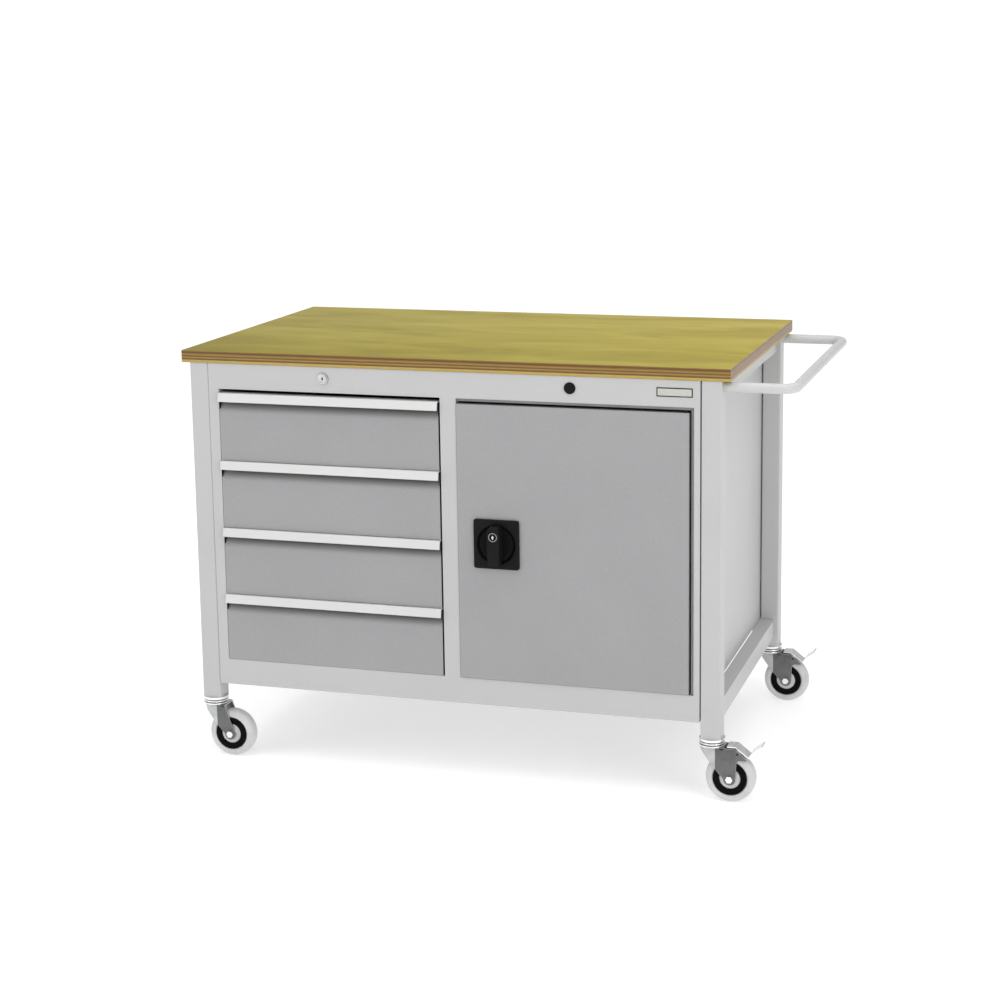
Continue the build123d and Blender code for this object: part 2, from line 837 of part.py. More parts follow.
def make_wheel(name, x, y):
    axle_x = x + wheel_trail
    half = wheel_width / 2
    with BuildPart() as wheel:
        rod((axle_x, y, wheel_radius), "Y", wheel_width, wheel_radius)
        fillet(wheel.edges().filter_by(GeomType.CIRCLE), wheel_edge_radius)
        rod((axle_x, y, wheel_radius), "Y", 2 * wheel_width, axle_radius + shaft_clearance, Mode.SUBTRACT)
    save(wheel, f"caster_{name}_wheel")

    with BuildPart() as covers:
        for side in (-1, 1):
            middle = (axle_x, y + side * (half + cover_thickness / 2), wheel_radius)
            rod(middle, "Y", cover_thickness, cover_outer_radius)
            rod(middle, "Y", cover_thickness, cover_inner_radius, Mode.SUBTRACT)
    save(covers, f"caster_{name}_covers")


def make_brake(name, x, y):
    """Bent brake lever, pinned between the fork legs, with the foot pedal on its outer end."""
    pin_x = x + brake_pin_x
    plate_z = fork_crown_top + brake_wall
    bend_x = x + wheel_trail + fork_crown_reach
    heel_x = x + wheel_trail + fork_tail_reach + brake_wall
    with BuildPart() as brake:
        with BuildSketch(Plane.XZ.offset(-y)):
            with BuildLine():
                spine = Polyline(
                    (x + head_ring_radius + brake_ring_gap, plate_z),
                    (bend_x, plate_z),
                    (heel_x, plate_z - fork_tail_drop),
                    (heel_x + pedal_rise_run, plate_z - pedal_rise_run),
                    (heel_x + pedal_reach, plate_z + pedal_lift),
                )
                offset(spine, amount=brake_wall / 2)
            make_face()
        extrude(amount=brake_width / 2, both=True)
        block(
            (pin_x - brake_eye, pin_x + brake_eye),
            (y - brake_width / 2, y + brake_width / 2),
            (brake_pin_z - brake_eye, brake_pin_z + 2 * brake_eye),
        )
        rod((pin_x, y, brake_pin_z), "Y", 2 * fork_half_width, brake_pin_radius)
    save(brake, f"caster_{name}_brake")


def make_casters():
    make_caster_stems()
    for name, (x, y) in caster_places().items():
        braked = name.endswith("right")
        make_fork(name, x, y, braked)
        make_axle(name, x, y)
        make_wheel(name, x, y)
        if braked:
            make_brake(name, x, y)


# ---------------------------------------------------------------- whole bench
os.makedirs("parts", exist_ok=True)
make_worktop()
make_leg_frame("leg_frame_left", -1)
make_leg_frame("leg_frame_right", 1)
make_push_handle()
make_face_frame()
make_casing_side("casing_side_left", -1)
make_casing_side("casing_side_right", 1)
make_casing_back()
make_casing_floor()
make_casing_divider()
make_casing_roof()
make_casing_bolts()
make_shelf()
make_shelf_pegs()
make_drawer_lock()
make_blanking_plug()
make_nameplate()
make_fixed_runners()
for drawer in range(1, drawer_count + 1):
    make_drawer(drawer)
make_door_panel()
make_door_pivots()
make_door_lock()
make_casters()
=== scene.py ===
"""Looks for the mobile workbench: plywood top, powder-coated steel, zinc casters, black turn-knob lock.

Everything is in metres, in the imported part's own frame: +X right, -Y front, +Z up.
"""

import json
import math

import bmesh
import bpy
from mathutils import Matrix, Vector


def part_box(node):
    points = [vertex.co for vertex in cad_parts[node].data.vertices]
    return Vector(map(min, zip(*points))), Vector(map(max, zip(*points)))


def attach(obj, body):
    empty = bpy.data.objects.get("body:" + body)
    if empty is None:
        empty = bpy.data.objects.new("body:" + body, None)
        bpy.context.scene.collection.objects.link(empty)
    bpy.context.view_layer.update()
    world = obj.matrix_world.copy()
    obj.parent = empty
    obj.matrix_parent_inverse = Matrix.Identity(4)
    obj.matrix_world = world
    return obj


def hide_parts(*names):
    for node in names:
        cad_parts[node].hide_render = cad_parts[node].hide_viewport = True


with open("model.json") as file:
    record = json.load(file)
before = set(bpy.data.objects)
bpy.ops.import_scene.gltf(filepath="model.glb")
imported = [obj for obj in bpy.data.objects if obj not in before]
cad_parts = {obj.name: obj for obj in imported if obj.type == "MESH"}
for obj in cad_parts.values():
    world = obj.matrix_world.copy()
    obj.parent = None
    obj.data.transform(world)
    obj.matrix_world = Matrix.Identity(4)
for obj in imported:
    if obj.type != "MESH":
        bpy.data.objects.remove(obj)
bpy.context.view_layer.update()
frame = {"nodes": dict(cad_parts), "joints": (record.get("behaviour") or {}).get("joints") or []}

MM = 0.001
JOINTS = {joint["name"]: joint for joint in frame["joints"]}
DRAWERS = (1, 2, 3, 4)
CASTERS = ("front_left", "front_right", "rear_left", "rear_right")

# Drawer fronts: grip strip, and the finger recess behind it
STRIP_WALL = 1.8 * MM
STRIP_HEIGHT = 17.5 * MM
RECESS_DROP = 38.0 * MM
RECESS_DEPTH = 8.4 * MM
RECESS_STEPS = 14
SHADE_REACH = 24.0 * MM
# Near-black sheets that paint the shade in the gap right of each drawer and the dark notch at its recess end
GAP_SHADE_THICKNESS = 0.8 * MM
GAP_SHADE_SETBACK = 1.2 * MM
NOTCH_SHADE_WIDTH = 1.5 * MM
NOTCH_SHADE_HEIGHT = 16.0 * MM

# Lip around the door opening, and the gaps beside the closed door
LIP_WIDTH = 4.5 * MM
LIP_DEPTH = 5.0 * MM
DOOR_TOP_GAP = 11.0 * MM
DOOR_RIGHT_GAP = 9.6 * MM

# Pressed fork, in mm: distances run back from the swivel axis, heights are above the floor
FORK_HALF_WIDTH = 20.0
FORK_WALL = 3.0
FORK_NOSE = -24.0
FORK_BEND = 17.0
FORK_EYE = 13.0
FORK_AXLE_HEIGHT = 50.0
FORK_KNEE = 106.0
FORK_CROWN = 112.0
CROWN_PLATE = 3.0
BRAKED_TAIL = 34.5
PLAIN_TAIL = 12.95
REAR_TOP_START = 27.0
REAR_TOP_END = 43.0
REAR_TOP_LOW = 67.0
REAR_FOOT_DROP = 16.0
BRAKED_SLOPE_START = 11.5
BRAKED_SLOPE_DROP = 20.0
BRAKED_SLOPE_LENGTH = 23.0
TAIL_LOW = 78.0
TAIL_RISE = 11.0
TAIL_REACH = 8.0
SIDE_STEPS = 48
NOSE_STEPS = 32

# Mesh and merge settings
MERGE = 0.001 * MM
FINE_STEPS = 96


# ---------------------------------------------------------------- mesh helpers
def finish_mesh(name, bm, body, materials, replaces=(), crease=35.0):
    """Turns a bmesh into a named piece that rides on a body."""
    bmesh.ops.recalc_face_normals(bm, faces=bm.faces)
    mesh = bpy.data.meshes.new(name)
    bm.to_mesh(mesh)
    bm.free()
    for material in materials:
        mesh.materials.append(material)
    mesh.polygons.foreach_set("use_smooth", [True] * len(mesh.polygons))
    mesh.set_sharp_from_angle(angle=math.radians(crease))
    piece = bpy.data.objects.new(name, mesh)
    bpy.context.scene.collection.objects.link(piece)
    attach(piece, body)
    if replaces:
        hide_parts(*replaces)
    return piece


def add_box(bm, low, high):
    """Adds a box between two corners and returns its vertices."""
    made = bmesh.ops.create_cube(bm, size=1.0)["verts"]
    low, high = Vector(low), Vector(high)
    middle, size = (low + high) / 2, high - low
    for vert in made:
        vert.co = Vector(m + c * s for m, c, s in zip(middle, vert.co, size))
    return made


def round_edges(bm, width, segments=3, min_angle=25.0, verts=None):
    """Bevels the edges that turn by more than an angle."""
    limit = math.radians(min_angle)
    chosen = set(verts) if verts is not None else None
    edges = [
        edge
        for edge in bm.edges
        if len(edge.link_faces) == 2
        and edge.calc_face_angle(0.0) > limit
        and (chosen is None or (edge.verts[0] in chosen and edge.verts[1] in chosen))
    ]
    bmesh.ops.bevel(
        bm, geom=edges, offset=width, segments=segments, profile=0.5, affect="EDGES", clamp_overlap=True
    )


def add_prism(bm, outline, to_point, start, end):
    """Adds a solid with a given outline. to_point(u, v, w) places a point of it, w from start to end."""
    near = [bm.verts.new(to_point(u, v, start)) for u, v in outline]
    far = [bm.verts.new(to_point(u, v, end)) for u, v in outline]
    bm.faces.new(near)
    bm.faces.new(list(reversed(far)))
    count = len(outline)
    for index in range(count):
        following = (index + 1) % count
        bm.faces.new((near[index], far[index], far[following], near[following]))
    return near + far


def add_lathe(bm, profile, centre, axis, steps=64):
    """Turns a profile of (radius, along) points about an axis. A radius of 0 closes an end."""
    centre, axis = Vector(centre), Vector(axis).normalized()
    side = axis.orthogonal().normalized()
    other = axis.cross(side)
    rings = []
    for radius, along in profile:
        base = centre + axis * along
        if radius == 0:
            rings.append([bm.verts.new(base)])
            continue
        ring = []
        for step in range(steps):
            angle = 2 * math.pi * step / steps
            ring.append(bm.verts.new(base + radius * (side * math.cos(angle) + other * math.sin(angle))))
        rings.append(ring)
    for first, second in zip(rings, rings[1:]):
        for step in range(steps):
            following = (step + 1) % steps
            if len(first) == 1:
                bm.faces.new((first[0], second[step], second[following]))
            elif len(second) == 1:
                bm.faces.new((first[step], second[0], first[following]))
            else:
                bm.faces.new((first[step], second[step], second[following], first[following]))
    return [vert for ring in rings for vert in ring]


def rounded_profile(points, radius, steps=4):
    """Rounds the corners of an open (radius, along) profile."""
    result = [points[0]]
    for before, corner, after in zip(points, points[1:], points[2:]):
        corner, before, after = Vector(corner), Vector(before), Vector(after)
        reach = min(radius, (before - corner).length / 2, (after - corner).length / 2)
        start = corner + (before - corner).normalized() * reach
        stop = corner + (after - corner).normalized() * reach
        for step in range(steps + 1):
            t = step / steps
            point = start * (1 - t) ** 2 + corner * 2 * t * (1 - t) + stop * t**2
            result.append(tuple(point))
    result.append(points[-1])
    return result


def loop_faces(bm, first, second):
    """Joins two closed loops of equal length."""
    count = len(first)
    for index in range(count):
        following = (index + 1) % count
        bm.faces.new((first[index], first[following], second[following], second[index]))


# ---------------------------------------------------------------- materials
def new_material(name):
    material = bpy.data.materials.new(name)
    material.use_nodes = True
    tree = material.node_tree
    shader = tree.nodes["Principled BSDF"]
    return material, tree, shader


def object_coords(tree, scale=(1, 1, 1)):
    coords = tree.nodes.new("ShaderNodeTexCoord")
    mapping = tree.nodes.new("ShaderNodeMapping")
    mapping.inputs["Scale"].default_value = scale
    tree.links.new(coords.outputs["Object"], mapping.inputs["Vector"])
    return mapping.outputs["Vector"]


def noise(tree, vector, scale, detail=3.0, roughness=0.5, distortion=0.0):
    node = tree.nodes.new("ShaderNodeTexNoise")
    node.inputs["Scale"].default_value = scale
    node.inputs["Detail"].default_value = detail
    node.inputs["Roughness"].default_value = roughness
    node.inputs["Distortion"].default_value = distortion
    tree.links.new(vector, node.inputs["Vector"])
    return node.outputs["Fac"]


def ramp(tree, value, stops):
    """A colour ramp. stops are (position, colour) pairs."""
    node = tree.nodes.new("ShaderNodeValToRGB")
    elements = node.color_ramp.elements
    while len(elements) < len(stops):
        elements.new(0.5)
    for element, (position, colour) in zip(elements, stops):
        element.position = position
        element.color = (*colour, 1.0)
    tree.links.new(value, node.inputs["Fac"])
    return node.outputs["Color"]


def remap(tree, value, low, high, from_low=0.0, from_high=1.0):
    node = tree.nodes.new("ShaderNodeMapRange")
    node.inputs["From Min"].default_value = from_low
    node.inputs["From Max"].default_value = from_high
    node.inputs["To Min"].default_value = low
    node.inputs["To Max"].default_value = high
    tree.links.new(value, node.inputs["Value"])
    return node.outputs["Result"]


def blend_colours(tree, factor, first, second, mode="MIX"):
    """Mixes two colours or colour outputs. factor is a number or an output."""
    node = tree.nodes.new("ShaderNodeMix")
    node.data_type = "RGBA"
    node.blend_type = mode
    sockets = {"Factor": 0, "A": 6, "B": 7}
    for key, value in (("Factor", factor), ("A", first), ("B", second)):
        socket = node.inputs[sockets[key]]
        if isinstance(value, bpy.types.NodeSocket):
            tree.links.new(value, socket)
        else:
            socket.default_value = value if key == "Factor" else (*value, 1.0)
    return node.outputs[2]


def bump(tree, shader, height, strength, distance):
    node = tree.nodes.new("ShaderNodeBump")
    node.inputs["Strength"].default_value = strength
    node.inputs["Distance"].default_value = distance
    tree.links.new(height, node.inputs["Height"])
    tree.links.new(node.outputs["Normal"], shader.inputs["Normal"])


def shade(colour, factor):
    return tuple(min(1.0, channel * factor) for channel in colour)


def powder_coat(name, colour, roughness=0.42, speckle=0.05, shading=None):
    """Baked powder paint: fine orange peel, faint mottling and speckle, darker where shading says."""
    material, tree, shader = new_material(name)
    vector = object_coords(tree)
    broad = noise(tree, vector, 6.0, 4.0)
    fine = noise(tree, vector, 900.0, 2.0)
    peel = noise(tree, vector, 420.0, 3.0)
    mottled = ramp(tree, broad, ((0.3, shade(colour, 0.975)), (0.7, shade(colour, 1.02))))
    grain = ramp(tree, fine, ((0.35, shade((1, 1, 1), 1 - speckle)), (0.65, (1, 1, 1))))
    paint = blend_colours(tree, 1.0, mottled, grain, "MULTIPLY")
    if shading:
        paint = blend_colours(tree, 1.0, paint, shading(tree), "MULTIPLY")
    tree.links.new(paint, shader.inputs["Base Color"])
    tree.links.new(remap(tree, peel, roughness - 0.06, roughness + 0.08), shader.inputs["Roughness"])
    bump(tree, shader, peel, 0.25, 0.12 * MM)
    return material


def zinc(name, colour=(0.50, 0.51, 0.52), roughness=0.3):
    """Bright zinc plating on pressed steel: cloudy, with fine drawing marks."""
    material, tree, shader = new_material(name)
    vector = object_coords(tree)
    clouds = noise(tree, vector, 60.0, 5.0, 0.6, 0.4)
    streak_vector = object_coords(tree, (1.0, 1.0, 0.08))
    streaks = noise(tree, streak_vector, 900.0, 3.0)
    tone = ramp(tree, clouds, ((0.3, shade(colour, 0.84)), (0.55, colour), (0.75, shade(colour, 1.12))))
    tree.links.new(tone, shader.inputs["Base Color"])
    shader.inputs["Metallic"].default_value = 1.0
    tree.links.new(remap(tree, clouds, roughness - 0.08, roughness + 0.12), shader.inputs["Roughness"])
    bump(tree, shader, streaks, 0.15, 0.05 * MM)
    return material


def moulded(name, colour, roughness=0.45, grain=700.0, depth=0.06, gloss=0.5):
    """Moulded plastic or rubber with a fine grain."""
    material, tree, shader = new_material(name)
    shader.inputs["Specular IOR Level"].default_value = gloss
    vector = object_coords(tree)
    fine = noise(tree, vector, grain, 3.0)
    broad = noise(tree, vector, 25.0, 4.0)
    tone = ramp(tree, broad, ((0.3, shade(colour, 0.9)), (0.7, shade(colour, 1.08))))
    tree.links.new(tone, shader.inputs["Base Color"])
    tree.links.new(remap(tree, fine, roughness - 0.08, roughness + 0.1), shader.inputs["Roughness"])
    bump(tree, shader, fine, 0.3, depth * MM)
    return material


def plywood_face(name, low, high):
    """Lacquered top veneer: long faint figure, yellow-green tint; darker and more saturated towards the
    front left corner, lighter and paler towards the back right.
    """
    material, tree, shader = new_material(name)
    along = object_coords(tree, (0.8, 2.6, 1.0))
    figure = noise(tree, along, 3.4, 5.0, 0.5, 1.4)
    fibre_vector = object_coords(tree, (0.04, 1.0, 1.0))
    fibre = noise(tree, fibre_vector, 420.0, 3.0, 0.6)
    tone = ramp(
        tree,
        figure,
        (
            (0.30, (0.366, 0.302, 0.034)),
            (0.44, (0.427, 0.358, 0.045)),
            (0.56, (0.470, 0.399, 0.056)),
            (0.72, (0.525, 0.458, 0.095)),
        ),
    )
    fibres = ramp(tree, fibre, ((0.3, (0.94, 0.93, 0.90)), (0.7, (1, 1, 1))))
    grained = blend_colours(tree, 1.0, tone, fibres, "MULTIPLY")
    coords = tree.nodes.new("ShaderNodeTexCoord")
    split = tree.nodes.new("ShaderNodeSeparateXYZ")
    tree.links.new(coords.outputs["Object"], split.inputs["Vector"])
    add = tree.nodes.new("ShaderNodeMath")
    add.operation = "ADD"
    tree.links.new(remap(tree, split.outputs["X"], 0.0, 0.5, low.x, high.x), add.inputs[0])
    tree.links.new(remap(tree, split.outputs["Y"], 0.0, 0.5, low.y, high.y), add.inputs[1])
    depth = ramp(
        tree,
        add.outputs["Value"],
        (
            (0.0, (0.49, 0.47, 0.27)),
            (0.12, (0.575, 0.55, 0.375)),
            (0.30, (0.705, 0.69, 0.615)),
            (0.45, (0.76, 0.745, 0.72)),
            (0.60, (0.82, 0.80, 0.74)),
            (1.0, (1.0, 0.95, 0.885)),
        ),
    )
    tree.links.new(blend_colours(tree, 1.0, grained, depth, "MULTIPLY"), shader.inputs["Base Color"])
    tree.links.new(remap(tree, fibre, 0.40, 0.56), shader.inputs["Roughness"])
    shader.inputs["Specular IOR Level"].default_value = 0.22
    bump(tree, shader, fibre, 0.12, 0.08 * MM)
    return material


def plywood_edge(name, bottom, thickness, tint, stretch):
    """Layered edge of the board: brown and golden plies with a light bottom ply."""
    material, tree, shader = new_material(name)
    coords = tree.nodes.new("ShaderNodeTexCoord")
    split = tree.nodes.new("ShaderNodeSeparateXYZ")
    tree.links.new(coords.outputs["Object"], split.inputs["Vector"])
    grain_vector = object_coords(tree, stretch)
    waves = noise(tree, grain_vector, 60.0, 4.0, 0.55)
    height = remap(tree, split.outputs["Z"], 0.0, 1.0, bottom, bottom + thickness)
    shift = remap(tree, waves, -0.035, 0.035)
    warped = tree.nodes.new("ShaderNodeMath")
    warped.operation = "ADD"
    tree.links.new(height, warped.inputs[0])
    tree.links.new(shift, warped.inputs[1])
    dark, brown, gold, light = tint
    plies = ramp(
        tree,
        warped.outputs["Value"],
        (
            (0.0, brown),
            (0.04, light),
            (0.22, light),
            (0.27, dark),
            (0.36, brown),
            (0.41, gold),
            (0.47, gold),
            (0.52, dark),
            (0.58, brown),
            (0.66, gold),
            (0.76, brown),
            (0.84, dark),
            (0.93, brown),
            (1.0, gold),
        ),
    )
    fibre = noise(tree, grain_vector, 500.0, 3.0, 0.6)
    fibres = ramp(tree, fibre, ((0.3, (0.78, 0.76, 0.72)), (0.7, (1, 1, 1))))
    tree.links.new(blend_colours(tree, 1.0, plies, fibres, "MULTIPLY"), shader.inputs["Base Color"])
    tree.links.new(remap(tree, fibre, 0.5, 0.7), shader.inputs["Roughness"])
    bump(tree, shader, fibre, 0.35, 0.2 * MM)
    return material


def under_strip_shading(tree):
    """Shade under each drawer's strip, by height below it. It repeats once for every drawer."""
    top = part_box("drawer_1_grip")[1].z
    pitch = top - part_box("drawer_2_grip")[1].z
    split = tree.nodes.new("ShaderNodeSeparateXYZ")
    tree.links.new(object_coords(tree), split.inputs["Vector"])
    below = remap(tree, split.outputs["Z"], len(DRAWERS), 0.0, top - len(DRAWERS) * pitch, top)
    part = tree.nodes.new("ShaderNodeMath")
    part.operation = "FRACT"
    tree.links.new(below, part.inputs[0])
    edge = STRIP_HEIGHT / pitch
    reach = SHADE_REACH / pitch
    stops = ((0.0, 0.14), (0.08, 0.20), (0.2, 0.38), (0.4, 0.62), (0.7, 0.88), (1.0, 1.0))
    return ramp(tree, part.outputs["Value"], [(edge + reach * at, (tone,) * 3) for at, tone in stops])


FRAME_GREY = (0.505, 0.505, 0.505)
FRONT_GREY = (0.340, 0.340, 0.347)
frame_paint = powder_coat("frame_paint_coat", FRAME_GREY)
front_paint = powder_coat("front_grey_coat", FRONT_GREY, 0.5, 0.12)
face_paint = powder_coat("front_grey_faces", FRONT_GREY, 0.5, 0.12, under_strip_shading)
grip_paint = powder_coat("grip_white_coat", (0.66, 0.66, 0.652), 0.38, 0.02)
handle_paint = powder_coat("handle_coat", (0.54, 0.54, 0.54), 0.4, 0.02)
tray_paint = powder_coat("tray_coat", (0.50, 0.50, 0.50), 0.45, 0.04)
zinc_plate = zinc("zinc_plate")
# Dark zinc for the flat outer faces of the fork plates: a painted dark reflection
zinc_dark_reflection = zinc("zinc_dull_side", (0.17, 0.17, 0.172), 0.42)
chrome_plate = zinc("bright_plate", (0.86, 0.86, 0.85), 0.2)
chrome_dark = zinc("bright_plate_groove", (0.10, 0.10, 0.10), 0.3)
lock_metal = zinc("lock_plate_metal", (0.72, 0.72, 0.70), 0.3)
# Black oxide for the door pivots; the drawer lock collar's outer wall also uses it as painted shade
oxide_pin_and_painted_shade = zinc("black_oxide_pin", (0.03, 0.03, 0.03), 0.4)
black_plastic = moulded("black_plastic_grain", (0.0065, 0.0065, 0.0065), 0.5, gloss=0.12)
dish_plastic = moulded("black_dish_grain", (0.0025, 0.0025, 0.0025), 0.55, gloss=0.08)
cover_plastic = moulded("cover_black_grain", (0.0025, 0.0025, 0.0025), 0.45, gloss=0.06)
wheel_nylon = moulded("wheel_nylon_grain", (0.58, 0.58, 0.575), 0.42, 240.0, 0.05)
key_ring_metal = zinc("key_ring_metal", (0.26, 0.26, 0.255), 0.35)
key_slot_dark = moulded("key_slot_dark", (0.01, 0.01, 0.01), 0.7, gloss=0.1)
# Door seal colours, darker than the lip paint: they also paint the shade in the lip, the base the shadow
# line at the frame edge
seal_base_and_painted_shade = moulded("door_seal_rubber", (0.05, 0.05, 0.05), 0.6, gloss=0.15)
seal_bead_and_painted_shade = moulded("door_bead_and_painted_shade", (0.24, 0.24, 0.24), 0.55, gloss=0.15)
# Near-black colour of those sheets: painted shade in the drawer gaps and at the recess ends
painted_gap_shade = moulded("drawer_gap_trim", (0.006, 0.006, 0.006), 0.7, gloss=0.1)
nameplate_face = powder_coat("nameplate_card", (0.52, 0.515, 0.475), 0.5, 0.06)
nameplate_edge = moulded("nameplate_border", (0.035, 0.035, 0.03), 0.5, gloss=0.2)


# ---------------------------------------------------------------- CAD nodes that stay
def dress(node, material, bevel=0.0, segments=2):
    """Gives a CAD node its material and, where wanted, softened edges."""
    piece = frame["nodes"][node]
    for slot in piece.material_slots:
        slot.material = material
    if bevel:
        weld = piece.modifiers.new("weld", "WELD")
        weld.merge_threshold = 0.01 * MM
        flatten = piece.modifiers.new("flatten", "DECIMATE")
        flatten.decimate_type = "DISSOLVE"
        flatten.angle_limit = math.radians(0.5)
        soften = piece.modifiers.new("soften", "BEVEL")
        soften.width = bevel
        soften.segments = segments
        soften.limit_method = "ANGLE"
        soften.angle_limit = math.radians(40)
        soften.harden_normals = True
    return piece


def dress_frame():
    for node in ("face_frame", "casing_side_left", "casing_side_right", "casing_back"):
        dress(node, frame_paint, 0.6 * MM)
    for node in ("casing_floor", "casing_divider", "casing_roof", "shelf"):
        dress(node, frame_paint, 0.4 * MM)
    for node in ("leg_frame_left", "leg_frame_right"):
        dress(node, frame_paint, 0.8 * MM)
    dress("push_handle", handle_paint)
    for node in ("casing_bolts", "shelf_pegs", "fixed_runners"):
        dress(node, zinc_plate)
    dress("caster_stems", chrome_plate)
    dress("door_pivots", oxide_pin_and_painted_shade)


def dress_drawers():
    for number in DRAWERS:
        dress(f"drawer_{number}_grip", grip_paint, 0.5 * MM, 3)
        dress(f"drawer_{number}_tray", tray_paint, 0.4 * MM)
        dress(f"drawer_{number}_runners", zinc_plate, 0.3 * MM)


def dress_door():
    dress("door_panel", front_paint, 1.0 * MM, 3)
    dress("door_latch_cam", zinc_plate, 0.5 * MM)
    dress("door_key_core", dish_plastic)
    dress("drawer_lock_core", lock_metal)
    dress("blanking_plug", black_plastic)


def dress_casters():
    for name in CASTERS:
        dress(f"caster_{name}_axle", chrome_plate, 0.4 * MM)
        if name.endswith("right"):
            dress(f"caster_{name}_brake", chrome_plate, 0.5 * MM)


# ---------------------------------------------------------------- drawers and door: fronts, painted gap shade, seals with painted shade
def make_drawer_faces():
    """Drawer front whose upper edge curves back behind the grip strip, to leave room for the fingers."""
    for number in DRAWERS:
        low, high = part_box(f"drawer_{number}_front")
        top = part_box(f"drawer_{number}_grip")[1].z
        start, end = top - RECESS_DROP, top - STRIP_HEIGHT + 1.0 * MM
        outline = [(high.y, low.z), (low.y, low.z)]
        for step in range(RECESS_STEPS + 1):
            t = step / RECESS_STEPS
            ease = t * t * (3 - 2 * t)
            outline.append((low.y + RECESS_DEPTH * ease, start + (end - start) * t))
        outline += [(low.y + RECESS_DEPTH, top - STRIP_WALL), (high.y, top - STRIP_WALL)]
        bm = bmesh.new()
        add_prism(bm, outline, lambda u, v, w: (w, u, v), low.x, high.x)
        round_edges(bm, 0.9 * MM, 3, 50)
        finish_mesh(
            f"drawer_{number}_face",
            bm,
            f"drawer_{number}",
            (face_paint,),
            (f"drawer_{number}_front",),
            30,
        )


def make_drawer_gap_shade():
    """Near-black sheets on each drawer front, not parts of the bench: painted shade in the gap along its
    right side, and a painted dark notch at the left end of its recess.
    """
    for number in DRAWERS:
        low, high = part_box(f"drawer_{number}_front")
        strip_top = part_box(f"drawer_{number}_grip")[1].z
        strip_low = strip_top - STRIP_HEIGHT
        gap_shade_low = (high.x - 0.1 * MM, low.y + GAP_SHADE_SETBACK, low.z + 1 * MM)
        notch_shade_low = (low.x - 0.2 * MM, low.y - 0.2 * MM, strip_low - NOTCH_SHADE_HEIGHT)
        bm = bmesh.new()
        add_box(bm, gap_shade_low, (high.x + GAP_SHADE_THICKNESS, high.y, strip_top - STRIP_WALL))
        add_box(bm, notch_shade_low, (low.x + NOTCH_SHADE_WIDTH, low.y + RECESS_DEPTH, strip_low + 2 * MM))
        round_edges(bm, 0.3 * MM, 2)
        finish_mesh(f"drawer_{number}_painted_gap_shade", bm, f"drawer_{number}", (painted_gap_shade,))


def build_door_seal_and_shade():
    """Rubber seal in front of the lip along the top and the right of the door; its dark colours also paint
    the shade in the lip, the near-black base the shadow line at the frame edge.
    """
    low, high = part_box("door_panel")
    frame_low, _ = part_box("face_frame")
    top = high.z + DOOR_TOP_GAP
    right = high.x + DOOR_RIGHT_GAP
    lip_face = frame_low.y + LIP_DEPTH
    front = lip_face - 2.0 * MM
    radius = 1.25 * MM
    edge = 0.15 * MM
    bead_y = lip_face - radius
    inner_x, inner_z = right - LIP_WIDTH, top - LIP_WIDTH
    runs = {
        "door_seal_and_shade_top": (
            ((low.x, front, inner_z), (right - edge, lip_face, top - edge)),
            ((low.x, bead_y, inner_z), (inner_x, bead_y, inner_z)),
        ),
        "door_seal_and_shade_right": (
            ((inner_x, front, low.z), (right - edge, lip_face, inner_z)),
            ((inner_x, bead_y, low.z), (inner_x, bead_y, inner_z)),
        ),
    }
    for name, ((box_low, box_high), (start, end)) in runs.items():
        bm = bmesh.new()
        add_box(bm, box_low, box_high)
        round_edges(bm, 0.4 * MM, 2)
        count = len(bm.faces)
        length = (Vector(end) - Vector(start)).length
        profile = ((0, 0), (radius, 0), (radius, length), (0, length))
        add_lathe(bm, profile, start, Vector(end) - Vector(start), 20)
        bm.faces.ensure_lookup_table()
        for polygon in bm.faces[count:]:
            polygon.material_index = 1
        finish_mesh(name, bm, "root", (seal_base_and_painted_shade, seal_bead_and_painted_shade))


# ---------------------------------------------------------------- locks and nameplate
def make_nameplate():
    """Blank plate in a thin dark border."""
    low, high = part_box("nameplate")
    border = 2.2 * MM
    step = 0.35 * MM
    bm = bmesh.new()
    add_box(bm, (low.x, low.y + step, low.z), high)
    round_edges(bm, 0.15 * MM, 2)
    inner_low = (low.x + border, low.y, low.z + border)
    inner_high = (high.x - border, high.y, high.z - border)
    card = add_box(bm, inner_low, inner_high)
    round_edges(bm, 0.12 * MM, 2, verts=card)
    bm.faces.ensure_lookup_table()
    for polygon in bm.faces:
        middle = polygon.calc_center_median()
        if inner_low[0] - step < middle.x < inner_high[0] + step and middle.y < low.y + step * 0.9:
            polygon.material_index = 1
    finish_mesh("nameplate_card", bm, "root", (nameplate_edge, nameplate_face), ("nameplate",))


